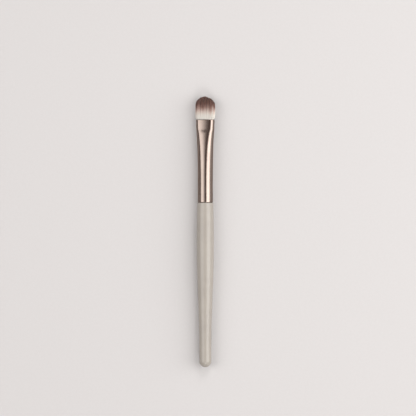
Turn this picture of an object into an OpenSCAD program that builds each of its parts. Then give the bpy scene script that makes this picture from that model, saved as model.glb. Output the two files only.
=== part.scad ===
// Eyeshadow brush, lying on the belly of its handle with a flat side of its tuft upwards.
// A turned wooden handle is lacquered and glued into a thin ferrule, whose mouth is pressed flat
// round a domed tuft of bristles. The tuft's roots are tied with thread and set in resin.
// Millimetres. Z is up, and the brush points along +Y. Each piece is drawn upright, with the
// tail of the handle at zero, and lay() puts it on its side.

/* [Handle] */
// Length of the handle from its tail to the ferrule
handle_l = 88; // [80:1:120]
// Diameter at the belly, where the handle is widest
belly_d = 9.25; // [8.8:0.05:12]
// Distance from the ferrule back to the belly
belly_back = 22.5; // [14:0.5:30]
// Diameter of the straight stretch at the tail
tail_d = 6.5; // [5:0.1:8]
// Length of the straight stretch, past the round end
tail_l = 6; // [4:0.5:12]
// Step from the ferrule out to the handle's shoulder
ledge = 0.35; // [0.3:0.05:0.6]
// Thickness of the lacquer
lacquer_t = 0.18; // [0.1:0.02:0.26]
// Length of the tenon that goes into the ferrule
tenon_l = 12; // [8:1:16]
// Thickness of the glue round the tenon
glue_t = 0.1; // [0.05:0.05:0.2]

/* [Ferrule] */
// Length of the ferrule that shows
ferrule_l = 44.5; // [38:0.5:60]
// Outside diameter of the round barrel
barrel_d = 7.95; // [7:0.05:8.2]
// Thickness of the ferrule's wall
wall_t = 0.35; // [0.25:0.05:0.5]
// Outside thickness of the flattened mouth
mouth_t = 4.9; // [4.4:0.1:6]
// Angle that a pressed face turns through, from its middle to its edge
crown_a = 10; // [6:1:16]
// The same angle far down the flare, where the faces are rounder
flare_crown_a = 16; // [10:1:24]
// Length of the pressed flats at the mouth
press_l = 7.4; // [4:0.2:9]
// Length of the crease where the flats begin
crease_l = 2.2; // [0.8:0.1:2.6]
// Length over which the flattening fades below the crease
fade_l = 9; // [6:0.1:12]

/* [Tuft] */
// Length of the bristles beyond the ferrule
tuft_l = 12.5; // [9:0.5:18]
// How far the tuft swells past the ferrule at each edge
edge_swell = 0.34; // [0.1:0.01:0.6]
// How far the tuft swells past the ferrule on each face
face_swell = 0.05; // [0:0.01:0.3]
// Distance from the mouth up to where the tuft is fullest
swell_l = 2.8; // [2:0.1:4]
// Height of the domed end
dome_l = 5; // [3:0.1:5.5]
// Thickness of the tuft at its tip
tip_t = 1.8; // [1.4:0.1:3]
// Bristles across the tuft's width
columns = 30; // [28:1:32]
// Bristles through the tuft's thickness
rows = 11; // [11:1:12]

/* [Inside the ferrule] */
// Depth of the top of the bristles' root slice below the mouth
root_depth = 0.6; // [0.4:0.1:2]
// Thickness of the root slice
slice_t = 1.5; // [1:0.5:2.5]
// Length of the resin plug below the slice
plug_l = 9; // [7:0.5:11]
// Thickness of the thread whipping
thread_t = 0.3; // [0.2:0.05:0.4]
// Length of the thread whipping
thread_l = 2.4; // [1.6:0.2:4]
// Distance from the plug's lower end up to the whipping
thread_up = 1.2; // [0.8:0.2:2]

/* [Hidden] */

brush_l = handle_l + ferrule_l + tuft_l;
mouth_at = handle_l + ferrule_l;
overrun = 1;                         // how far a cut runs past what it cuts
slack = 0.04;                        // between pieces that only touch on the real brush

barrel_r = barrel_d / 2;
bore_r = barrel_r - wall_t;
tenon_r = bore_r - glue_t;
tail_r = tail_d / 2;
belly_r = belly_d / 2;
shoulder_r = barrel_r + ledge;
belly_at = handle_l - belly_back;
seat_at = handle_l - lacquer_t;      // the ferrule seats on bare wood, inside the lacquer
tenon_chamfer = 0.6;
shoulder_round = 0.3;

barrel_spare = 2;                    // straight barrel past the tenon's end
barrel_end = handle_l + tenon_l + barrel_spare;
press_at = mouth_at - press_l;
crease_end = press_at + crease_l;
pressed_share = 0.62;                // of the flattening, reached where the crease begins
creased_share = 0.9;                 // and where it ends
draw_line = 0.03;                    // step where the drawn flare leaves the barrel
draw_l = 0.6;                        // how far the flare starts inside the barrel's wall
flare_steps = 12;
edge_points = 8;                     // round a quarter of the tube's edge arcs
face_points = 4;                     // and across half a face
sides = 4 * (edge_points + face_points);

slice_top = mouth_at - root_depth;
slice_bottom = slice_top - slice_t;
plug_bottom = slice_bottom - plug_l;
thread_at = plug_bottom + thread_up;
thread_end = thread_at + thread_l;

squareness = 0.4;                    // of the tuft's section, where 0.5 is an ellipse
face_drop = 1.6;                     // how much shorter the bristles are on the faces
trim = 0.25;                         // how much the bristles' lengths differ
bristle_share = 0.31;                // half a bristle's width at its root, of its cell
stagger_share = 0.1;                 // of a cell, by which every other row is shifted
jitter_share = 0.06;                 // of a cell, by which a bristle is off its place
taper_shares = [1, 0.95, 0.8, 0.4];  // of a bristle's width at its root, going up
middle_share = 0.55;                 // of the way from the swell to the tip, where it thins

function mix(a, b, t) = a + (b - a) * t;
function ease(t) = let (u = min(max(t, 0), 1)) u * u * (3 - 2 * u);
function noise(n) = let (v = 1000 * sin(n * 77.7 + 31)) v - floor(v);

// Lays a piece on its side, with the belly of the handle on the ground
module lay() {
    translate([0, -brush_l / 2, belly_r])
        rotate([-90, 0, 0])
            children();
}

// Handle

function handle_r(s) = s > belly_at
    ? belly_r - (belly_r - shoulder_r) * pow((s - belly_at) / belly_back, 2)
    : mix(tail_r, belly_r, ease((s - tail_r - tail_l) / (belly_at - tail_r - tail_l)));

// Half the handle's section, drawn in by inset from the lacquer's surface
module handle_half(inset) {
    start = tail_r + tail_l;
    end = handle_l - shoulder_round;
    curve_steps = 56;
    corner_r = shoulder_round - inset;
    translate([0, tail_r])
        intersection() {
            circle(r = tail_r - inset, $fn = 64);
            translate([0, -tail_r])
                square(tail_r);
        }
    polygon(concat(
        [[0, tail_r], [tail_r - inset, tail_r]],
        [for (i = [0 : curve_steps])
            let (s = mix(start, end, i / curve_steps)) [handle_r(s) - inset, s]],
        [for (a = [15 : 15 : 90])
            [shoulder_r - shoulder_round + corner_r * cos(a), end + corner_r * sin(a)]],
        [[0, handle_l - inset]]
    ));
}

module handle_core() {
    tenon_body = tenon_l - tenon_chamfer;
    color("burlywood")
        lay() {
            rotate_extrude($fn = 96)
                handle_half(lacquer_t);
            translate([0, 0, seat_at - overrun])
                cylinder(r = tenon_r, h = overrun + lacquer_t + tenon_body, $fn = 96);
            translate([0, 0, handle_l + tenon_body])
                cylinder(r1 = tenon_r, r2 = tenon_r - tenon_chamfer, h = tenon_chamfer,
                    $fn = 96);
        }
}

module handle_lacquer() {
    color("#b9b0a6")
        lay()
            rotate_extrude($fn = 96)
                difference() {
                    handle_half(0);
                    handle_half(lacquer_t);
                    translate([0, seat_at - overrun])
                        square([barrel_r + slack, 2 * overrun]);
                }
}

module tenon_glue() {
    color("khaki")
        lay()
            translate([0, 0, seat_at])
                difference() {
                    cylinder(r = bore_r, h = lacquer_t + tenon_l - tenon_chamfer, $fn = 96);
                    translate([0, 0, -overrun])
                        cylinder(r = tenon_r, h = tenon_l + 2 * overrun, $fn = 96);
                }
}

// Ferrule

// How far the tube is flattened at s: 0 is round, and 1 is as flat as the mouth
function flattening(s) =
    s < press_at ? pressed_share * faded(s)
    : s < crease_end ? mix(pressed_share, creased_share, (s - press_at) / crease_l)
    : mix(creased_share, 1, (s - crease_end) / (mouth_at - crease_end));
// How much of it is left at s, down from the crease to the round barrel
function faded(s) = let (least = exp((barrel_end - press_at) / fade_l))
    max(exp((s - press_at) / fade_l) - least, 0) / (1 - least);
function tube_t(s) = mix(barrel_d, mouth_t, flattening(s));

// The pressed tube keeps its girth: each face is one wide arc, and each edge a tight one.
// crown_at is in degrees, and the turns are in radians.
quarter_girth = PI / 4 * barrel_d;
function crown_at(s) = mix(flare_crown_a, crown_a, flattening(s));
function face_turn(s) = crown_at(s) * PI / 180;
function edge_turn(s) = PI / 2 - face_turn(s);
function face_rise(s) = (1 - cos(crown_at(s))) / face_turn(s);
function edge_rise(s) = cos(crown_at(s)) / edge_turn(s);
function edge_arc(s) =
    (tube_t(s) / 2 - quarter_girth * face_rise(s)) / (edge_rise(s) - face_rise(s));
function edge_r(s) = edge_arc(s) / edge_turn(s);
function face_r(s) = (quarter_girth - edge_arc(s)) / face_turn(s);
function tube_half_w(s) = edge_r(s) + (face_r(s) - edge_r(s)) * sin(crown_at(s));

// Directions of a quarter of the tube's points, from the middle of an edge to that of a face
function ring_angles(edge_a) = concat(
    [for (k = [0.5 : edge_points]) mix(0, edge_a, k / edge_points)],
    [for (k = [0.5 : face_points]) mix(edge_a, 90, k / face_points)]
);

// The tube's outline at s, drawn in by inset from its outside
function tube_ring(s, inset) = let (
        edge = edge_r(s),
        face = face_r(s),
        edge_a = 90 - crown_at(s),
        quarter = [for (a = ring_angles(edge_a)) a < edge_a
            ? [(face - edge) * cos(edge_a) + (edge - inset) * cos(a), (edge - inset) * sin(a)]
            : [(face - inset) * cos(a), (face - inset) * sin(a) - (face - edge) * sin(edge_a)]],
        last = len(quarter) - 1
    )
    [for (side = [[1, 1], [-1, 1], [-1, -1], [1, -1]]) for (k = [0 : last])
        let (p = quarter[side[0] == side[1] ? k : last - k])
        [side[0] * p[0], side[1] * p[1], s]];

// Triangles of a band between two rings of points, which start at indices a and b
function band(a, b, count) = [for (i = [0 : count - 1]) let (j = (i + 1) % count)
    each [[a + i, b + i, b + j], [a + i, b + j, a + j]]];

// A solid whose rings follow the tube, from [s, inset] pairs, with a flat cap at each end
module tube_fill(stations) {
    count = len(stations);
    low = count * sides;
    high = low + 1;
    top = low - sides;
    polyhedron(
        points = concat(
            [for (p = stations) each tube_ring(p[0], p[1])],
            [[0, 0, stations[0][0]], [0, 0, stations[count - 1][0]]]
        ),
        faces = concat(
            [for (k = [0 : count - 2]) each band(k * sides, (k + 1) * sides, sides)],
            [for (i = [0 : sides - 1]) [low, i, (i + 1) % sides]],
            [for (i = [0 : sides - 1]) [high, top + (i + 1) % sides, top + i]]
        )
    );
}

// A wall that follows the tube: its rings run up the outside and back down the inside
module tube_wall(outside, inside) {
    loop = concat(outside, [for (k = [len(inside) - 1 : -1 : 0]) inside[k]]);
    count = len(loop);
    polyhedron(
        points = [for (p = loop) each tube_ring(p[0], p[1])],
        faces = [for (k = [0 : count - 1]) each band(k * sides, ((k + 1) % count) * sides, sides)]
    );
}

// Places of the tube's rings, from above the barrel to the mouth
tube_places = concat(
    [for (k = [1 : flare_steps]) mix(barrel_end, press_at, k / flare_steps)],
    [crease_end, mouth_at]
);

// The rings of a stretch of the tube
function stretch(from, to, inset) = concat(
    [[from, inset]],
    [for (s = tube_places) if (s > from && s < to) [s, inset]],
    [[to, inset]]
);

// The flare's rings, which start inside the barrel's wall and step out of it
function flare_stations(inset, step) = concat(
    [[barrel_end - draw_l, inset + step], [barrel_end, inset + step]],
    [for (s = tube_places) [s, inset]]
);

module ferrule() {
    barrel_l = barrel_end - seat_at;
    color("#a88d80")
        lay() {
            translate([0, 0, seat_at])
                difference() {
                    cylinder(r = barrel_r, h = barrel_l, $fn = 96);
                    translate([0, 0, -overrun])
                        cylinder(r = bore_r, h = barrel_l + 2 * overrun, $fn = 96);
                }
            tube_wall(flare_stations(0, draw_line), flare_stations(wall_t, -draw_line));
        }
}

// Root of the tuft

// Resin on the roots, with a groove round it where the thread is
module resin_plug() {
    outer = wall_t + slack;
    groove = wall_t + thread_t + 2 * slack;
    color("#d8b46a")
        lay()
            tube_fill(concat(
                stretch(plug_bottom, thread_at - slack, outer),
                stretch(thread_at - slack, thread_end + slack, groove),
                stretch(thread_end + slack, slice_bottom - slack, outer)
            ));
}

module root_thread() {
    outer = wall_t + slack;
    color("ivory")
        lay()
            tube_wall(stretch(thread_at, thread_end, outer),
                stretch(thread_at, thread_end, outer + thread_t));
}

// Tuft

// Half the tuft's width and half its thickness at height h above the mouth
function tuft_w(h) = mix(root_w, tube_half_w(mouth_at) + edge_swell,
    ease((h + root_depth) / (swell_l + root_depth)));
function tuft_t(h) = h < swell_l
    ? mix(root_t, swell_t, ease((h + root_depth) / (swell_l + root_depth)))
    : mix(swell_t, tip_t / 2, pow((h - swell_l) / (tuft_l - swell_l), 2));
swell_t = mouth_t / 2 + face_swell;
root_w = tube_half_w(slice_bottom) - wall_t - slack;
root_t = mouth_t / 2 - wall_t - slack;

// From a square of cells, -1 to 1 each way, to the rounded section of the tuft
function rounded(u, v) = [u * sqrt(1 - squareness * v * v), v * sqrt(1 - squareness * u * u)];
function tuft_point(u, v, h) = let (p = rounded(u, v)) [p[0] * tuft_w(h), p[1] * tuft_t(h), h];

// How far above the mouth a bristle ends: the tuft is domed, and shorter on its faces
function bristle_top(u, v, n) = let (p = rounded(u, v))
    tuft_l - dome_l * (1 - sqrt(1 - p[0] * p[0])) - face_drop * p[1] * p[1] - trim * noise(n);

// The four rings of three points of one bristle, from its root to its tip
function bristle_points(i, j) = let (
        n = i * rows + j,
        shift = stagger_share * (j % 2 == 0 ? 1 : -1),
        u = (2 * i + 1 + shift + jitter_share * (2 * noise(n) - 1)) / columns - 1,
        v = (2 * j + 1 + jitter_share * (2 * noise(n + rows) - 1)) / rows - 1,
        top = bristle_top(u, v, n),
        heights = [-root_depth, swell_l, mix(swell_l, top, middle_share), top]
    )
    [for (k = [0 : 3]) for (a = [-90, 30, 150]) let (r = 2 * bristle_share * taper_shares[k])
        tuft_point(u + r * cos(a) / columns, v + r * sin(a) / rows, heights[k])];

module bristles() {
    across = columns + 1;
    corners = [for (j = [0 : rows]) for (i = [0 : columns])
        tuft_point(2 * i / columns - 1, 2 * j / rows - 1, -root_depth)];
    // The corners round the edge of the slice, anticlockwise from above
    edge = concat(
        [for (i = [0 : columns - 1]) i],
        [for (j = [0 : rows - 1]) j * across + columns],
        [for (i = [columns : -1 : 1]) rows * across + i],
        [for (j = [rows : -1 : 1]) j * across]
    );
    edge_count = len(edge);
    under = len(corners);
    middle = under + edge_count;
    first = middle + 1;
    color("#8c6a5c")
        lay()
            translate([0, 0, mouth_at])
                polyhedron(
                    points = concat(
                        corners,
                        [for (e = edge) corners[e] - [0, 0, slice_t]],
                        [[0, 0, -root_depth - slice_t]],
                        [for (j = [0 : rows - 1]) for (i = [0 : columns - 1])
                            each bristle_points(i, j)]
                    ),
                    faces = concat(
                        [for (k = [0 : edge_count - 1]) let (m = (k + 1) % edge_count) each [
                            [under + k, edge[k], edge[m]],
                            [under + k, edge[m], under + m],
                            [middle, under + k, under + m]
                        ]],
                        [for (j = [0 : rows - 1]) for (i = [0 : columns - 1])
                            each bristle_faces(j * across + i, first + 12 * (j * columns + i))]
                    )
                );
}

// Triangles of one bristle, with what its cell leaves of the slice round it
function bristle_faces(cell, root) = let (
        a = cell,
        b = cell + 1,
        c = cell + columns + 2,
        d = cell + columns + 1
    )
    concat(
        [
            [a, root, b], [b, root, root + 1], [b, root + 1, c], [c, root + 1, root + 2],
            [c, root + 2, d], [d, root + 2, a], [a, root + 2, root]
        ],
        [for (k = [0 : 2]) each band(root + 3 * k, root + 3 * k + 3, 3)],
        [[root + 11, root + 10, root + 9]]
    );

handle_core();
handle_lacquer();
tenon_glue();
ferrule();
resin_plug();
root_thread();
bristles();
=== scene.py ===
import math

import bpy
import numpy as np
from mathutils import Matrix, Vector


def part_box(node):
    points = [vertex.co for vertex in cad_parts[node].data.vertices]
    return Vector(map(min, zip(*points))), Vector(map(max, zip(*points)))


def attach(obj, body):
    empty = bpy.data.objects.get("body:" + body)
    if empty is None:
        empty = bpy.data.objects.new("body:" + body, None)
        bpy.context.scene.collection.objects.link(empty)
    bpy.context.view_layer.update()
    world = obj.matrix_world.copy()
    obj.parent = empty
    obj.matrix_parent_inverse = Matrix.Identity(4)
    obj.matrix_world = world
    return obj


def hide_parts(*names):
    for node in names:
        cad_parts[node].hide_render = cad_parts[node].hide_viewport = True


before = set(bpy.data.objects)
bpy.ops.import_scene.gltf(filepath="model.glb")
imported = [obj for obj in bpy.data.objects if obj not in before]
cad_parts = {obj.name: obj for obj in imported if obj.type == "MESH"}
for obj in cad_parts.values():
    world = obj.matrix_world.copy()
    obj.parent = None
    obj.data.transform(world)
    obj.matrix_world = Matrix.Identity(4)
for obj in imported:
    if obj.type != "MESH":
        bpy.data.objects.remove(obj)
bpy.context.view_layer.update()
mm = 0.001


def hexLinear(code):
    # sRGB hex to the linear values that the shaders work in
    values = [int(code[i:i + 2], 16) / 255 for i in (1, 3, 5)]
    return tuple(v / 12.92 if v <= 0.04045 else ((v + 0.055) / 1.055) ** 2.4 for v in values) + (1.0,)


def smooth(t):
    t = np.clip(t, 0, 1)
    return t * t * (3 - 2 * t)


def mix(a, b, t):
    return a + (b - a) * t


def setStops(ramp, stops):
    # A colour ramp's stops: a place from 0 to 1 and a hex colour each
    while len(ramp.elements) > 1:
        ramp.elements.remove(ramp.elements[-1])
    ramp.elements[0].position = stops[0][0]
    ramp.elements[0].color = hexLinear(stops[0][1])
    for place, code in stops[1:]:
        ramp.elements.new(place).color = hexLinear(code)


def addNode(tree, kind, links=None, **settings):
    # One node: settings are its properties, the values of its sockets or its ramp's stops, and
    # links are the sockets that other nodes feed, by name or by number
    node = tree.nodes.new(kind)
    for name, value in settings.items():
        if name == "stops":
            setStops(node.color_ramp, value)
        elif hasattr(node, name):
            setattr(node, name, value)
        else:
            node.inputs[name.replace("_", " ")].default_value = value
    for name, source in (links or {}).items():
        tree.links.new(source, node.inputs[int(name) if name.isdigit() else name])
    return node


def newMaterial(name, **shaderValues):
    # A material with one Principled shader whose constants sit on its own sockets
    material = bpy.data.materials.new(name)
    material.use_nodes = True
    tree = material.node_tree
    shader = tree.nodes["Principled BSDF"]
    for socket, value in shaderValues.items():
        shader.inputs[socket.replace("_", " ")].default_value = value
    return material, tree, shader


def addMesh(name, points, faces, material, smoothShade=True):
    mesh = bpy.data.meshes.new(name)
    mesh.from_pydata([tuple(p) for p in points], [], faces)
    mesh.materials.append(material)
    mesh.validate()
    mesh.update()
    if smoothShade:
        mesh.shade_smooth()
    piece = bpy.data.objects.new(name, mesh)
    bpy.context.scene.collection.objects.link(piece)
    return piece


# Places that the CAD frame gives

ferruleLow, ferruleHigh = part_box("ferrule")
lacquerLow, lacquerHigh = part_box("handle_lacquer")
axisZ = (lacquerLow.z + lacquerHigh.z) / 2
tailY = lacquerLow.y
shoulderY = lacquerHigh.y
mouthY = ferruleHigh.y
tipY = -tailY                         # the brush is centred on its length
barrelRadius = (ferruleHigh.z - ferruleLow.z) / 2
bellyRadius = (lacquerHigh.z - lacquerLow.z) / 2


# Camera first: it looks down on the brush, turned a little about the brush's length

print("camera")
camera = {
    "fieldWidth": 222.6 * mm,         # width of the view at the height of the brush
    "distance": 1.1,
    "centreX": 1.45 * mm,             # where the view is centred
    "centreY": 12.7 * mm,
    "rollAngle": 8.75,                # degrees about the brush, so that its flat shows a sheen
    "sensor": 36.0,                   # width in millimetres, as Blender takes it
    "clipStart": 0.01,
    "clipEnd": 20,
}


def addCamera():
    data = bpy.data.cameras.new("camera")
    data.sensor_width = camera["sensor"]
    data.lens = camera["sensor"] * camera["distance"] / camera["fieldWidth"]
    data.clip_start = camera["clipStart"]
    data.clip_end = camera["clipEnd"]
    eye = bpy.data.objects.new("camera", data)
    turn = Matrix.Rotation(math.radians(camera["rollAngle"]), 4, "Y")
    centre = Vector((0, camera["centreY"], axisZ))
    offset = turn @ Vector((camera["centreX"], 0, camera["distance"]))
    eye.matrix_world = Matrix.Translation(centre + offset) @ turn
    bpy.context.scene.collection.objects.link(eye)
    bpy.context.scene.camera = eye


addCamera()


# Materials

def softTouchLacquer():
    # Soft-touch polyurethane lacquer, sprayed: a broad satin sheen with no sharp reflection,
    # and a fine dusty grain that is drawn coarser than the real 0.05 mm so that it shows
    grainSize = 0.35 * mm
    grainDepth = 0.02 * mm
    mottleSize = 6 * mm
    material, tree, shader = newMaterial(
        "soft-touch lacquer", Roughness=0.24, IOR=1.5, Sheen_Weight=0.05, Sheen_Roughness=0.5)
    place = addNode(tree, "ShaderNodeTexCoord").outputs["Object"]
    mottle = addNode(tree, "ShaderNodeTexNoise", {"Vector": place}, Scale=1 / mottleSize, Detail=3.0)
    grain = addNode(tree, "ShaderNodeTexNoise", {"Vector": place}, Scale=1 / grainSize, Detail=4.0)
    tone = addNode(tree, "ShaderNodeValToRGB", {"Fac": mottle.outputs["Fac"]},
                   stops=[(0.3, "#98928A"), (0.7, "#9D978E")])
    tree.links.new(tone.outputs["Color"], shader.inputs["Base Color"])
    rough = addNode(tree, "ShaderNodeMapRange", {"Value": grain.outputs["Fac"]},
                    To_Min=0.21, To_Max=0.27)
    tree.links.new(rough.outputs["Result"], shader.inputs["Roughness"])
    bump = addNode(tree, "ShaderNodeBump", {"Height": grain.outputs["Fac"]},
                   Strength=0.08, Distance=grainDepth)
    tree.links.new(bump.outputs["Normal"], shader.inputs["Normal"])
    return material


def anodisedAluminium():
    # Bronze anodised aluminium, drawn and buffed before it was dyed: a dark metal that mirrors
    # the lamps as clean stripes, which fine buffing lines along the tube soften a little. The
    # lines are drawn wider than the real 0.03 mm so that they show
    lineWidth = 0.12 * mm
    lineDepth = 0.004 * mm
    lineRun = 50                      # how much longer the lines are than wide
    cloudSize = 5 * mm                # the dye took a little unevenly
    slantTint = "#AA978E"             # what the metal mirrors at a slant is darker and warmer
    material, tree, shader = newMaterial(
        "bronze anodised aluminium", Metallic=1.0, Roughness=0.2,
        Specular_Tint=hexLinear(slantTint))
    place = addNode(tree, "ShaderNodeTexCoord").outputs["Object"]
    drawn = addNode(tree, "ShaderNodeMapping", {"Vector": place}, Scale=(1, 1 / lineRun, 1))
    lines = addNode(tree, "ShaderNodeTexNoise", {"Vector": drawn.outputs["Vector"]},
                    Scale=1 / lineWidth, Detail=2.0)
    cloud = addNode(tree, "ShaderNodeTexNoise", {"Vector": place}, Scale=1 / cloudSize, Detail=3.0)
    tone = addNode(tree, "ShaderNodeValToRGB", {"Fac": cloud.outputs["Fac"]},
                   stops=[(0.35, "#8D8078"), (0.65, "#92857D")])
    tree.links.new(tone.outputs["Color"], shader.inputs["Base Color"])
    rough = addNode(tree, "ShaderNodeMapRange", {"Value": lines.outputs["Fac"]},
                    To_Min=0.16, To_Max=0.24)
    tree.links.new(rough.outputs["Result"], shader.inputs["Roughness"])
    bump = addNode(tree, "ShaderNodeBump", {"Height": lines.outputs["Fac"]},
                   Strength=0.06, Distance=lineDepth)
    tree.links.new(bump.outputs["Normal"], shader.inputs["Normal"])
    return material


def dyedFilament():
    # Tapered synthetic filament, dip-dyed: cream from the root, then a blurred pinkish line,
    # then brown that is darkest at the tips. Along a filament the map's V runs from root to tip,
    # and U is how light that filament came out of the dye, plus painted light at both sides
    material, tree, shader = newMaterial(
        "dip-dyed synthetic filament", Roughness=0.48, IOR=1.53, Specular_IOR_Level=0.35,
        Sheen_Weight=0.15, Sheen_Roughness=0.4)
    place = addNode(tree, "ShaderNodeUVMap", uv_map="OFBake").outputs["UV"]
    parts = addNode(tree, "ShaderNodeSeparateXYZ", {"Vector": place})
    along = addNode(tree, "ShaderNodeValToRGB", {"Fac": parts.outputs["Y"]}, stops=[
        (0.0, "#DAD6CF"), (0.12, "#D8D3CB"), (0.19, "#D5CCC3"), (0.26, "#CBB9AE"),
        (0.33, "#B09187"), (0.4, "#8B695E"), (0.47, "#765349"), (0.54, "#745248"),
        (0.67, "#7A5A4F"), (1.0, "#735449")])
    lightness = addNode(tree, "ShaderNodeMapRange", {"Value": parts.outputs["X"]},
                        To_Min=0.2, To_Max=1.8)
    tone = addNode(tree, "ShaderNodeVectorMath",
                   {"0": along.outputs["Color"], "1": lightness.outputs["Result"]},
                   operation="MULTIPLY")
    tree.links.new(tone.outputs["Vector"], shader.inputs["Base Color"])
    return material


def bareBirch():
    # Birch, turned and sanded: pale, with fine fibres along the handle
    material, tree, shader = newMaterial("turned birch", Roughness=0.6, IOR=1.45)
    fibreWidth = 0.4 * mm
    fibreShare = 0.06                 # width of a fibre as a share of its length
    place = addNode(tree, "ShaderNodeTexCoord").outputs["Object"]
    along = addNode(tree, "ShaderNodeMapping", {"Vector": place}, Scale=(1, fibreShare, 1))
    fibre = addNode(tree, "ShaderNodeTexNoise", {"Vector": along.outputs["Vector"]},
                    Scale=1 / fibreWidth, Detail=4.0)
    tone = addNode(tree, "ShaderNodeValToRGB", {"Fac": fibre.outputs["Fac"]},
                   stops=[(0.3, "#C9A877"), (0.7, "#E2C79B")])
    tree.links.new(tone.outputs["Color"], shader.inputs["Base Color"])
    return material


def setResin(name, dark, light):
    # Adhesive that set in place: glossy, amber, slightly cloudy
    cloudSize = 1.5 * mm
    material, tree, shader = newMaterial(name, Roughness=0.25, IOR=1.55)
    place = addNode(tree, "ShaderNodeTexCoord").outputs["Object"]
    cloud = addNode(tree, "ShaderNodeTexNoise", {"Vector": place}, Scale=1 / cloudSize, Detail=2.0)
    tone = addNode(tree, "ShaderNodeValToRGB", {"Fac": cloud.outputs["Fac"]},
                   stops=[(0.35, dark), (0.65, light)])
    tree.links.new(tone.outputs["Color"], shader.inputs["Base Color"])
    return material


def whippingThread():
    # Waxed cotton thread, wound side by side: fine ridges round the roots
    threadPitch = 0.3 * mm
    ridgeDepth = 0.05 * mm
    waveLength = math.pi / 10         # of the wave texture at a scale of 1
    material, tree, shader = newMaterial("waxed thread", Roughness=0.7, IOR=1.5)
    place = addNode(tree, "ShaderNodeTexCoord").outputs["Object"]
    turns = addNode(tree, "ShaderNodeTexWave", {"Vector": place}, bands_direction="Y",
                    Scale=waveLength / threadPitch)
    tone = addNode(tree, "ShaderNodeValToRGB", {"Fac": turns.outputs["Fac"]},
                   stops=[(0.0, "#CFC6B0"), (1.0, "#F1EBDB")])
    tree.links.new(tone.outputs["Color"], shader.inputs["Base Color"])
    bump = addNode(tree, "ShaderNodeBump", {"Height": turns.outputs["Fac"]},
                   Strength=0.5, Distance=ridgeDepth)
    tree.links.new(bump.outputs["Normal"], shader.inputs["Normal"])
    return material


print("materials")
lacquer = softTouchLacquer()
aluminium = anodisedAluminium()
filament = dyedFilament()
hiddenFinishes = {
    "handle_core": bareBirch(),
    "tenon_glue": setResin("handle glue", "#CDBB84", "#DCCB98"),
    "resin_plug": setResin("root resin", "#B98F4E", "#D0A964"),
    "root_thread": whippingThread(),
}
for nodeName, material in hiddenFinishes.items():
    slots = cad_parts[nodeName].data.materials
    for index in range(len(slots)):
        slots[index] = material


# Handle: the coat of lacquer, turned smooth

print("handle")
handle = {
    "tailRadius": 3.25 * mm,
    "tailLength": 6 * mm,             # straight stretch past the round end
    "bellyBack": 22.5 * mm,           # from the ferrule back to the belly
    "ledge": 0.35 * mm,               # step out from the ferrule
    "shoulderRound": 0.3 * mm,
    "thickness": 0.18 * mm,           # of the coat
    "boreGap": 0.04 * mm,             # from the coat's edge to the ferrule
    "firstTurn": 0.06,                # radians of the round end, from the axis to its first ring
    "endRings": 20,                   # on the round end
    "rings": 150,                     # from there to the shoulder
    "shoulderRings": 8,
    "sides": 128,
}


def handleRadius(s):
    # Radius at distance s from the tail
    length = shoulderY - tailY
    bellyAt = length - handle["bellyBack"]
    shoulderRadius = barrelRadius + handle["ledge"]
    start = handle["tailRadius"] + handle["tailLength"]
    if s < handle["tailRadius"]:
        r = handle["tailRadius"]
        return math.sqrt(max(r * r - (r - s) ** 2, 0))
    if s > bellyAt:
        return bellyRadius - (bellyRadius - shoulderRadius) * ((s - bellyAt) / handle["bellyBack"]) ** 2
    return mix(handle["tailRadius"], bellyRadius, float(smooth((s - start) / (bellyAt - start))))


def handleProfile():
    # Points [s, radius] from the tail's end to the shoulder, then in to the ferrule
    length = shoulderY - tailY
    r = handle["tailRadius"]
    roundEnd = [(r * (1 - math.cos(a)), r * math.sin(a))
                for a in np.linspace(handle["firstTurn"], math.pi / 2, handle["endRings"])]
    corner = handle["shoulderRound"]
    edge = length - corner
    body = [(s, handleRadius(s)) for s in np.linspace(r, edge, handle["rings"])[1:]]
    outer = body[-1][1]
    shoulder = [(edge + corner * math.sin(a), outer - corner * (1 - math.cos(a)))
                for a in np.linspace(0, math.pi / 2, handle["shoulderRings"])[1:]]
    return roundEnd + body + shoulder


def revolve(name, profile, material, sides):
    # A skin turned about the brush's own axis: it starts in a point on the axis
    points = [(0, tailY, axisZ)]
    faces = []
    for s, radius in profile:
        for k in range(sides):
            a = 2 * math.pi * k / sides
            points.append((radius * math.cos(a), tailY + s, axisZ + radius * math.sin(a)))
    for k in range(sides):
        faces.append((0, 1 + k, 1 + (k + 1) % sides))
    for ring in range(len(profile) - 1):
        low, high = 1 + ring * sides, 1 + (ring + 1) * sides
        for k in range(sides):
            m = (k + 1) % sides
            faces.append((low + k, high + k, high + m, low + m))
    return addMesh(name, points, faces, material)


def addHandle():
    # The coat turns in at the shoulder, stops at the ferrule and comes back under itself
    outside = handleProfile()
    bore = barrelRadius + handle["boreGap"]
    thick, corner, tail = handle["thickness"], handle["shoulderRound"], handle["tailRadius"]
    end = outside[-1][0]
    edge = [(end, bore), (end - thick, bore)]
    inside = [(s - thick if s > end - corner else s, radius - thick)
              for s, radius in reversed(outside[:-1]) if s > tail]
    insideTail = [(s + thick, radius * (tail - thick) / tail)
                  for s, radius in reversed(outside) if s <= tail]
    profile = outside + edge + inside + insideTail
    coat = revolve("handle_coat", profile, lacquer, handle["sides"])
    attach(coat, "root")
    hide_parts("handle_lacquer")


addHandle()


# Ferrule: a drawn tube, pressed flat at its mouth

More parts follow.
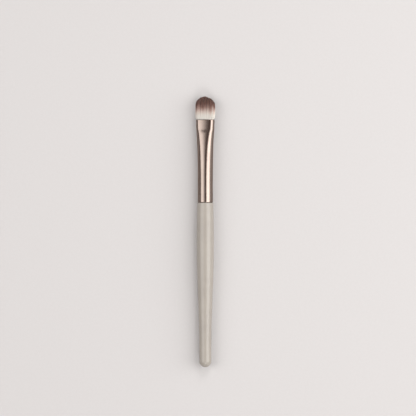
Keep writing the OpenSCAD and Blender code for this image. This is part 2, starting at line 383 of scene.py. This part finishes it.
print("ferrule")
ferrule = {
    "wall": 0.35 * mm,
    "mouthThickness": 4.9 * mm,
    "crownAngle": 10.0,               # degrees that a pressed face turns through, from its middle
    "flareCrownAngle": 16.0,          # and far down the flare, where the faces are rounder
    "pressLength": 7.4 * mm,          # pressed flats at the mouth
    "creaseLength": 2.4 * mm,         # where the flats begin
    "fadeLength": 9 * mm,             # over which the flattening fades below the crease
    "straight": 14 * mm,              # round barrel past the handle
    "pressedShare": 0.62,             # of the flattening is done where the crease begins
    "creasedShare": 0.88,             # and this much where it ends
    "creaseEase": 0.25,               # 0 is a straight step, 1 is eased at both ends
    "crimpLength": 0.4 * mm,          # the other edge is drawn in, where it meets the handle
    "crimpDepth": 0.16 * mm,
    "crimpRings": (0.15, 0.35, 0.6, 0.85),  # shares of its length
    "lipLength": 0.35 * mm,           # the mouth's edge is rolled in a little
    "lipDepth": 0.2 * mm,
    "lipRings": 9,
    "sides": 192,
    "ring": 0.4 * mm,                 # distance between rings
    "fineRing": 0.08 * mm,            # the same at the crease
    "barrelRing": 2 * mm,             # and on the straight barrel
}
flareStart = shoulderY + ferrule["straight"]
pressStart = mouthY - ferrule["pressLength"]
creaseEnd = pressStart + ferrule["creaseLength"]


def flattening(y):
    # 0 on the round barrel, 1 at the mouth: a long fade, then the step that the press leaves
    if y < pressStart:
        least = math.exp((flareStart - pressStart) / ferrule["fadeLength"])
        faded = max(math.exp((y - pressStart) / ferrule["fadeLength"]) - least, 0) / (1 - least)
        return ferrule["pressedShare"] * faded
    if y < creaseEnd:
        t = (y - pressStart) / ferrule["creaseLength"]
        step = mix(t, float(smooth(t)), ferrule["creaseEase"])
        return mix(ferrule["pressedShare"], ferrule["creasedShare"], step)
    return mix(ferrule["creasedShare"], 1, (y - creaseEnd) / (mouthY - creaseEnd))


def ferruleArcs(y):
    # The crown and the radii of the edge and face arcs, and the length of half an edge arc:
    # the girth is kept
    flat = flattening(y)
    halfThickness = mix(barrelRadius, ferrule["mouthThickness"] / 2, flat)
    crown = math.radians(mix(ferrule["flareCrownAngle"], ferrule["crownAngle"], flat))
    edgeTurn = math.pi / 2 - crown
    quarterGirth = math.pi / 2 * barrelRadius
    edgeRise = math.cos(crown) / edgeTurn
    faceRise = (1 - math.cos(crown)) / crown
    edgeArc = (halfThickness - quarterGirth * faceRise) / (edgeRise - faceRise)
    return crown, edgeArc / edgeTurn, (quarterGirth - edgeArc) / crown, edgeArc


def ferruleHalfWidth(y):
    crown, edgeRadius, faceRadius, _ = ferruleArcs(y)
    return edgeRadius + (faceRadius - edgeRadius) * math.sin(crown)


def ferruleRing(y, inset):
    # One outline of the tube: points are spaced evenly round its girth
    crown, edgeRadius, faceRadius, edgeArc = ferruleArcs(y)
    across = (faceRadius - edgeRadius) * math.sin(crown)
    down = (faceRadius - edgeRadius) * math.cos(crown)
    perQuarter = ferrule["sides"] // 4
    quarter = []
    for k in range(perQuarter):
        run = math.pi / 2 * barrelRadius * (k + 0.5) / perQuarter
        if run < edgeArc:
            a = run / edgeRadius
            radius = edgeRadius - inset
            quarter.append((across + radius * math.cos(a), radius * math.sin(a)))
        else:
            a = math.pi / 2 - crown + (run - edgeArc) / faceRadius
            radius = faceRadius - inset
            quarter.append((radius * math.cos(a), radius * math.sin(a) - down))
    back = quarter[::-1]
    corners = [(1, 1, quarter), (-1, 1, back), (-1, -1, quarter), (1, -1, back)]
    return [(signX * x, y, axisZ + signZ * z) for signX, signZ, run in corners for x, z in run]


def addFerrule():
    # Rings [y, how far inside the tube's outline] up the outside, over the lip and back inside
    wall, lipLength, lipDepth = ferrule["wall"], ferrule["lipLength"], ferrule["lipDepth"]
    crimpDepth, crimpEnd = ferrule["crimpDepth"], shoulderY + ferrule["crimpLength"]
    stations = list(np.arange(crimpEnd, flareStart, ferrule["barrelRing"]))
    stations += list(np.arange(flareStart, pressStart - ferrule["ring"], ferrule["ring"]))
    stations += list(np.arange(pressStart, creaseEnd, ferrule["fineRing"]))
    stations += list(np.arange(creaseEnd, mouthY - lipLength, ferrule["ring"]))
    turn = np.linspace(0, math.pi / 2, ferrule["lipRings"])
    outside = [(ferruleLow.y, crimpDepth), (shoulderY, crimpDepth)]
    outside += [(mix(shoulderY, crimpEnd, t), crimpDepth * (1 - math.sin(math.pi / 2 * t)))
                for t in ferrule["crimpRings"]]
    outside += [(y, 0.0) for y in stations]
    outside += [(mouthY - lipLength * (1 - math.sin(a)), lipDepth * (1 - math.cos(a))) for a in turn]
    innerLip = wall - lipDepth
    inside = [(mouthY - innerLip * (1 - math.cos(a)), wall - innerLip * (1 - math.sin(a)))
              for a in turn[1:]]
    inside += [(y, wall) for y in reversed([ferruleLow.y] + stations)]
    rings = [ferruleRing(y, inset) for y, inset in outside + inside]
    sides = ferrule["sides"]
    points = [p for ring in rings for p in ring]
    faces = []
    for r in range(len(rings)):
        a, b = r * sides, (r + 1) % len(rings) * sides
        for k in range(sides):
            m = (k + 1) % sides
            faces.append((a + k, a + m, b + m, b + k))
    tube = addMesh("ferrule_tube", points, faces, aluminium)
    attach(tube, "root")
    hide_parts("ferrule")
    print("ferrule rings", len(rings))


addFerrule()


# Tuft: thousands of tapered filaments that stand in a slice of resin

print("tuft")
tuft = {
    "seed": 11,
    "across": 120,                    # filaments across the width
    "through": 50,                    # and through the thickness
    "jitter": 0.4,                    # of their spacing, to each side of an even grid
    "edgeX": 0.995,                   # of the half section, where its outermost places are
    "edgeZ": 0.99,
    "squareness": 0.4,                # of the tuft's section, where 0.5 is an ellipse
    "sides": 3,                       # of one filament
    "thick": 0.082 * mm,              # one filament at its root
    "tipShare": 0.35,                 # of that, at its tip
    "rootDepth": 2.1 * mm,            # below the mouth, on the resin
    "rootGap": 0.1 * mm,              # from the outer filaments to the ferrule's wall
    "swellLength": 1.0 * mm,          # past the mouth, where the tuft has nearly its full size
    "swellShares": (0, 0.1, 0.82),    # of the swell: on the resin, at the mouth, at that length
    "upperRings": (0.33, 0.68, 1),    # a filament's other rings, as shares from there to its tip
    "fullWidth": 10.7 * mm,
    "fullThickness": 5.0 * mm,
    "tipThickness": 2.0 * mm,
    "domeLength": 5.2 * mm,
    "domePower": 2.3,                 # 2 is a round dome, more is a fuller one
    "faceDrop": 1.6 * mm,             # how much shorter the filaments are on the faces
    "ragged": 0.25 * mm,              # how much lengths differ
    "lockSize": 0.9 * mm,             # filaments gather in locks of about this width
    "locksEach": 1.625,               # locks in a square of that size
    "lockPull": 0.38,                 # of the way in, at the tips; half that through the thickness
    "lockBend": 1.6,                  # 1 leans them straight, more bends them towards their tips
    "strayX": 0.04 * mm,              # how far single filaments stray from their lock
    "strayZ": 0.03 * mm,
    "lockRagged": 0.12 * mm,          # how much the lengths of locks differ
    "lockGroup": 2.4,                 # locks that end alike, side by side
    "lockLevel": 1.2,                 # of that difference, past which the tops are level
    "notchX": 1.6 * mm,               # where the tip parts
    "notchDepth": 0.35 * mm,
    "notchWidth": 0.25 * mm,
    "partedDrop": 0.42 * mm,          # how much lower it ends past the parting
    "partedLength": 1.6 * mm,
    # the dye
    "dyeSeed": 898,
    "dyeWander": 0.45 * mm,           # how much its edge wanders from lock to lock
    "wanderLocks": 1.6,               # locks that it takes to go up and down once
    "wanderThrough": 0.4,             # less than 1 wanders more slowly through the thickness
    "dyeBleed": 0.7 * mm,             # how much its edge differs from filament to filament
    "paleShare": 0.12,                # of the filaments, which took the dye late
    "paleShift": 2.6 * mm,
    "tipShade": 0.2,                  # how much darker a filament is at its own tip
    # how light the filaments are, which differs more where they are dyed; the places are on the
    # map's V, from 0 at the root to 1 at the tip
    "dyedFrom": 0.27,
    "dyedOver": 0.25,                 # length over which the dye takes full effect
    "tipsFrom": 0.5,
    "tipsOver": 0.3,
    "fleckSeed": 815,
    "fleckSize": 1.0 * mm,            # filaments that lie together came out alike
    "fleckTone": 0.22,                # how much these flecks differ in lightness
    "lockTone": 0.1,                  # and the locks
    "ownTone": 0.08,                  # and single filaments
    "undyedTone": 0.15,               # of this difference, where a filament isn't dyed
    "tipsTone": 0.6,                  # of it, added at the tips
    "marginU": 0.02,                  # the map stays this far inside its square
    "marginV": 0.01,
    "paintedRimLight": 0.12,                 # painted light: how much paler the undyed filaments at both sides are drawn
    "rimStart": 0.8,                  # from here out, of the half width, for light that comes through them
}


def waveNoise(rng, x, y, size, waves=14):
    # Smooth noise of about unit spread, as a sum of plane waves of about one size
    total = np.zeros_like(x)
    for _ in range(waves):
        angle, phase = rng.uniform(0, 2 * math.pi, 2)
        k = 2 * math.pi / size * rng.uniform(0.6, 1.4)
        total += np.cos(k * (x * math.cos(angle) + y * math.sin(angle)) + phase)
    return total * math.sqrt(2 / waves)


def filamentPlaces(rng):
    # Where the filaments stand in a unit section: a jittered, staggered grid that is drawn in
    # to rounded corners
    i, j = np.meshgrid(np.arange(tuft["across"]), np.arange(tuft["through"]))
    i, j = i.ravel(), j.ravel()
    jitter = rng.uniform(-tuft["jitter"], tuft["jitter"], (2, i.size))
    u = 2 * (i + 0.5 * (j % 2) + 0.25 + jitter[0]) / tuft["across"] - 1
    v = 2 * (j + 0.5 + jitter[1]) / tuft["through"] - 1
    u = np.clip(u, -tuft["edgeX"], tuft["edgeX"])
    v = np.clip(v, -tuft["edgeZ"], tuft["edgeZ"])
    q = tuft["squareness"]
    return u * np.sqrt(1 - q * v * v), v * np.sqrt(1 - q * u * u)


def filamentTops(rng, unitX, unitZ):
    # How high each filament ends: a dome, shorter on both faces, parted once near its top
    length = tipY - mouthY
    flatX, flatZ = unitX * tuft["fullWidth"] / 2, unitZ * tuft["fullThickness"] / 2
    top = length - tuft["domeLength"] * (1 - (1 - abs(unitX) ** tuft["domePower"]) ** 0.5)
    top -= tuft["faceDrop"] * unitZ * unitZ
    locks = waveNoise(rng, flatX, flatZ, tuft["lockGroup"] * tuft["lockSize"])
    top += tuft["lockRagged"] * (np.minimum(locks, tuft["lockLevel"]) - tuft["lockLevel"])
    top -= tuft["notchDepth"] * np.exp(-((flatX - tuft["notchX"]) / tuft["notchWidth"]) ** 2)
    top -= tuft["partedDrop"] * smooth((flatX - tuft["notchX"]) / tuft["partedLength"] + 0.5)
    top -= tuft["ragged"] * rng.uniform(0, 1, unitX.size) ** 2
    return top + (length - top.max())


def filamentLean(rng, unitX, unitZ):
    # Filaments lean into locks: each one towards the nearest of many scattered middles. The
    # last value is a tone of its lock's own
    halfWidth, halfThickness = tuft["fullWidth"] / 2, tuft["fullThickness"] / 2
    flatX, flatZ = unitX * halfWidth, unitZ * halfThickness
    lockCount = int(4 * tuft["locksEach"] * halfWidth * halfThickness / tuft["lockSize"] ** 2)
    middleX = rng.uniform(-halfWidth, halfWidth, lockCount)
    middleZ = rng.uniform(-halfThickness, halfThickness, lockCount)
    nearest = ((flatX[:, None] - middleX) ** 2 + (flatZ[:, None] - middleZ) ** 2).argmin(1)
    pull = tuft["lockPull"]
    leanX = (middleX[nearest] - flatX) * pull + rng.normal(0, tuft["strayX"], flatX.size)
    leanZ = (middleZ[nearest] - flatZ) * pull / 2 + rng.normal(0, tuft["strayZ"], flatX.size)
    return leanX, leanZ, rng.uniform(-1, 1, lockCount)[nearest]


def filamentRings(unitX, unitZ, top, leanX, leanZ, share):
    # Height and middle of each ring of each filament: on the resin, at the mouth, at the swell,
    # then up to its tip
    length, swell = tipY - mouthY, tuft["swellLength"]
    inset = ferrule["wall"] + tuft["rootGap"]
    rootX, rootZ = ferruleHalfWidth(mouthY) - inset, ferrule["mouthThickness"] / 2 - inset
    fullX, fullZ = tuft["fullWidth"] / 2, tuft["fullThickness"] / 2
    heights = swell + (top[:, None] - swell) * share
    heights[:, 0] = -tuft["rootDepth"]
    heights[:, 1] = 0
    rise = np.array(tuft["swellShares"] + (1,) * len(tuft["upperRings"]))
    upper = np.clip((heights - swell) / (length - swell), 0, 1)
    thinning = 1 - tuft["tipThickness"] / tuft["fullThickness"]
    halfX = mix(rootX, fullX, rise)
    halfZ = mix(rootZ, fullZ, rise) * (1 - thinning * upper ** 2)
    bend = (np.clip(heights, 0, None) / length) ** tuft["lockBend"]
    middleX = np.clip(unitX[:, None] * halfX + leanX[:, None] * bend, -fullX, fullX)
    middleZ = unitZ[:, None] * halfZ + leanZ[:, None] * bend
    return heights, middleX, middleZ


def filamentPoints(rng, heights, middleX, middleZ, share):
    # Corners of every ring: a filament tapers to its tip, and is turned at random
    sides = tuft["sides"]
    radius = (tuft["thick"] / 2 * (1 - (1 - tuft["tipShare"]) * share ** 2))[None, :, None]
    turn = rng.uniform(0, 2 * math.pi, len(heights))[:, None]
    corner = (turn + 2 * math.pi * np.arange(sides) / sides)[:, None, :]
    x = middleX[:, :, None] + radius * np.cos(corner)
    z = middleZ[:, :, None] + radius * np.sin(corner)
    y = np.broadcast_to(heights[:, :, None], x.shape)
    return np.stack([x, mouthY + y, axisZ + z], -1).reshape(-1, 3)


def filamentFaces(count, rings):
    # Quads of every filament's bands, and triangles for both its ends
    sides = tuft["sides"]
    bands = []
    for k in range(rings - 1):
        for n in range(sides):
            m = (n + 1) % sides
            bands.append([k * sides + n, k * sides + m, (k + 1) * sides + m, (k + 1) * sides + n])
    ends = [[n for n in reversed(range(sides))], [(rings - 1) * sides + n for n in range(sides)]]
    base = np.arange(count)[:, None, None] * rings * sides
    return (base + np.array(bands)).reshape(-1, 4), (base + np.array(ends)).reshape(-1, 3)


def filamentDye(unitX, unitZ, heights, lockTone):
    # The map of every ring: V is how far up a filament the dye finds it, and U how light it is
    # there, which differs more where it is dyed, plus painted light on the undyed filaments at both
    # sides
    count, length = unitX.size, tipY - mouthY
    flatX, flatZ = unitX * tuft["fullWidth"] / 2, unitZ * tuft["fullThickness"] / 2
    dyeing = np.random.default_rng(tuft["dyeSeed"])
    wander = waveNoise(dyeing, flatX, flatZ * tuft["wanderThrough"],
                       tuft["wanderLocks"] * tuft["lockSize"])
    shift = tuft["dyeWander"] * (wander + lockTone) / 2
    shift += tuft["dyeBleed"] * dyeing.normal(0, 1, count)
    shift -= tuft["paleShift"] * (dyeing.uniform(0, 1, count) < tuft["paleShare"])
    mapV = (heights + shift[:, None]) / length * (1 - tuft["tipShade"])
    mapV[:, -1] += tuft["tipShade"]
    mapV = np.clip(mapV, tuft["marginV"], 1 - tuft["marginV"])

    flecking = np.random.default_rng(tuft["fleckSeed"])
    tone = tuft["lockTone"] * lockTone
    tone += tuft["fleckTone"] * waveNoise(flecking, flatX, flatZ, tuft["fleckSize"])
    tone += flecking.normal(0, tuft["ownTone"], count)
    dyed = smooth((mapV - tuft["dyedFrom"]) / tuft["dyedOver"])
    atTips = smooth((mapV - tuft["tipsFrom"]) / tuft["tipsOver"])
    strength = mix(tuft["undyedTone"], 1, dyed) + tuft["tipsTone"] * atTips
    # Painted light: the undyed filaments towards both sides are drawn paler, for light that comes
    # through them
    paintedLightRim = smooth((abs(unitX) - tuft["rimStart"]) / (1 - tuft["rimStart"]))
    mapU = 0.5 + tone[:, None] * strength + tuft["paintedRimLight"] * paintedLightRim[:, None] * (1 - dyed)
    return np.clip(mapU, tuft["marginU"], 1 - tuft["marginU"]), mapV


def filamentMesh(name, points, quads, ends, mapU, mapV):
    # One mesh of all filaments, with the map of their dye
    mesh = bpy.data.meshes.new(name)
    corners = np.concatenate([quads.ravel(), ends.ravel()]).astype(np.int32)
    starts = np.concatenate([np.arange(len(quads)) * 4, quads.size + np.arange(len(ends)) * 3])
    mesh.vertices.add(len(points))
    mesh.vertices.foreach_set("co", points.astype(np.float32).ravel())
    mesh.loops.add(len(corners))
    mesh.loops.foreach_set("vertex_index", corners)
    mesh.polygons.add(len(starts))
    mesh.polygons.foreach_set("loop_start", starts.astype(np.int32))
    mesh.update(calc_edges=True)
    mesh.validate()
    mesh.shade_smooth()
    layer = mesh.uv_layers.new(name="OFBake")
    used = np.zeros(len(mesh.loops), np.int32)
    mesh.loops.foreach_get("vertex_index", used)
    dyeMap = np.stack([mapU.ravel()[used // tuft["sides"]], mapV.ravel()[used // tuft["sides"]]], -1)
    layer.data.foreach_set("uv", dyeMap.astype(np.float32).ravel())
    mesh.materials.append(filament)
    return mesh


def addTuft():
    rng = np.random.default_rng(tuft["seed"])
    share = np.array((0,) * len(tuft["swellShares"]) + tuft["upperRings"])
    unitX, unitZ = filamentPlaces(rng)
    top = filamentTops(rng, unitX, unitZ)
    leanX, leanZ, lockTone = filamentLean(rng, unitX, unitZ)
    heights, middleX, middleZ = filamentRings(unitX, unitZ, top, leanX, leanZ, share)
    points = filamentPoints(rng, heights, middleX, middleZ, share)
    quads, ends = filamentFaces(unitX.size, share.size)
    mapU, mapV = filamentDye(unitX, unitZ, heights, lockTone)
    mesh = filamentMesh("tuft_filaments", points, quads, ends, mapU, mapV)
    piece = bpy.data.objects.new("tuft_filaments", mesh)
    bpy.context.scene.collection.objects.link(piece)
    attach(piece, "root")
    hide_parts("bristles")
    print("filaments", unitX.size, "triangles", len(quads) * 2 + len(ends))


addTuft()


# Table, lamps and world

print("table and lamps")
studio = {
    "tableSize": 3.0,                 # metres, like every length here
    "tableColours": ("#C0BEBD", "#C2C0BF"),
    "tableFibre": 1.2 * mm,           # size of the paper's faint mottle
    "lampDistance": 1.1,
    # the room by direction, from 0 beyond the tail to 1 beyond the tuft: dark and warm overhead,
    # which the ferrule mirrors, and light towards both ends of the brush
    "room": [(0.0, "#A09E9D"), (0.2, "#A09E9D"), (0.325, "#68544E"), (0.8, "#68544E"),
             (0.9, "#A09E9D"), (1.0, "#A09E9D")],
    # a softbox beyond each end of the brush, a little to the right
    "endLamp": {"right": 0.3, "reach": 0.9, "height": 0.9, "size": 0.5, "radiance": 6.0},
    "stripAngle": 6.0,                # each softbox is a row of strips, brightest in its middle
    # angles about the brush from the camera's own direction: where each softbox starts,
    # how far its light takes to rise, where it starts to fall and where it ends
    "key": {"from": 10.0, "rise": 20.0, "fallFrom": 58.0, "to": 85.0, "radiance": 4.2,
            "length": 0.9, "middleY": 85 * mm},
    "fill": {"from": 0.0, "rise": 42.0, "fallFrom": 58.0, "to": 84.0, "radiance": 2.75,
             "length": 0.84, "middleY": 60 * mm},
}


def addTable():
    half = studio["tableSize"] / 2
    material, tree, shader = newMaterial("pale paper", Roughness=0.9, IOR=1.4)
    place = addNode(tree, "ShaderNodeTexCoord").outputs["Object"]
    fibre = addNode(tree, "ShaderNodeTexNoise", {"Vector": place},
                    Scale=1 / studio["tableFibre"], Detail=3.0)
    dark, light = studio["tableColours"]
    tone = addNode(tree, "ShaderNodeValToRGB", {"Fac": fibre.outputs["Fac"]},
                   stops=[(0.3, dark), (0.7, light)])
    tree.links.new(tone.outputs["Color"], shader.inputs["Base Color"])
    corners = [(-half, -half, 0), (half, -half, 0), (half, half, 0), (-half, half, 0)]
    table = addMesh("table", corners, [(0, 1, 2, 3)], material, smoothShade=False)


def addSoftbox(name, box, side):
    # Strips of lamp on an arc about the brush; side is 1 on the right and -1 on the left
    count = round((box["to"] - box["from"]) / studio["stripAngle"])
    step = (box["to"] - box["from"]) / count
    distance = studio["lampDistance"]
    for k in range(count):
        angle = box["from"] + step * (k + 0.5)
        rise = smooth((angle - box["from"]) / box["rise"])
        fall = smooth((box["to"] - angle) / (box["to"] - box["fallFrom"]))
        data = bpy.data.lights.new(f"{name}_{k}", "AREA")
        data.shape = "RECTANGLE"
        data.size = 2 * distance * math.tan(math.radians(step / 2))
        data.size_y = box["length"]
        data.energy = box["radiance"] * float(rise * fall) * math.pi * data.size * data.size_y
        lamp = bpy.data.objects.new(f"{name}_{k}", data)
        turn = Matrix.Rotation(math.radians(side * angle + camera["rollAngle"]), 4, "Y")
        centre = Vector((0, box["middleY"], axisZ))
        lamp.matrix_world = Matrix.Translation(centre + turn @ Vector((0, 0, distance))) @ turn
        lamp.visible_camera = False
        bpy.context.scene.collection.objects.link(lamp)


def addEndLamps():
    box = studio["endLamp"]
    for name, side in (("tip_lamp", 1), ("tail_lamp", -1)):
        data = bpy.data.lights.new(name, "AREA")
        data.size = box["size"]
        data.energy = box["radiance"] * math.pi * box["size"] ** 2
        lamp = bpy.data.objects.new(name, data)
        place = Vector((box["right"], side * box["reach"], box["height"]))
        aim = place.to_track_quat("Z", "X").to_matrix().to_4x4()
        lamp.matrix_world = Matrix.Translation(place) @ aim
        lamp.visible_camera = False
        bpy.context.scene.collection.objects.link(lamp)


def addWorld():
    world = bpy.data.worlds.new("studio")
    world.use_nodes = True
    tree = world.node_tree
    background = tree.nodes["Background"]
    direction = addNode(tree, "ShaderNodeTexCoord").outputs["Generated"]
    parts = addNode(tree, "ShaderNodeSeparateXYZ", {"Vector": direction})
    along = addNode(tree, "ShaderNodeMapRange", {"Value": parts.outputs["Y"]}, From_Min=-1.0)
    tone = addNode(tree, "ShaderNodeValToRGB", {"Fac": along.outputs["Result"]},
                   stops=studio["room"])
    tree.links.new(tone.outputs["Color"], background.inputs["Color"])
    bpy.context.scene.world = world


addTable()
addSoftbox("key_lamp", studio["key"], 1)
addSoftbox("fill_lamp", studio["fill"], -1)
addEndLamps()
addWorld()
bpy.context.scene.view_settings.view_transform = "Standard"
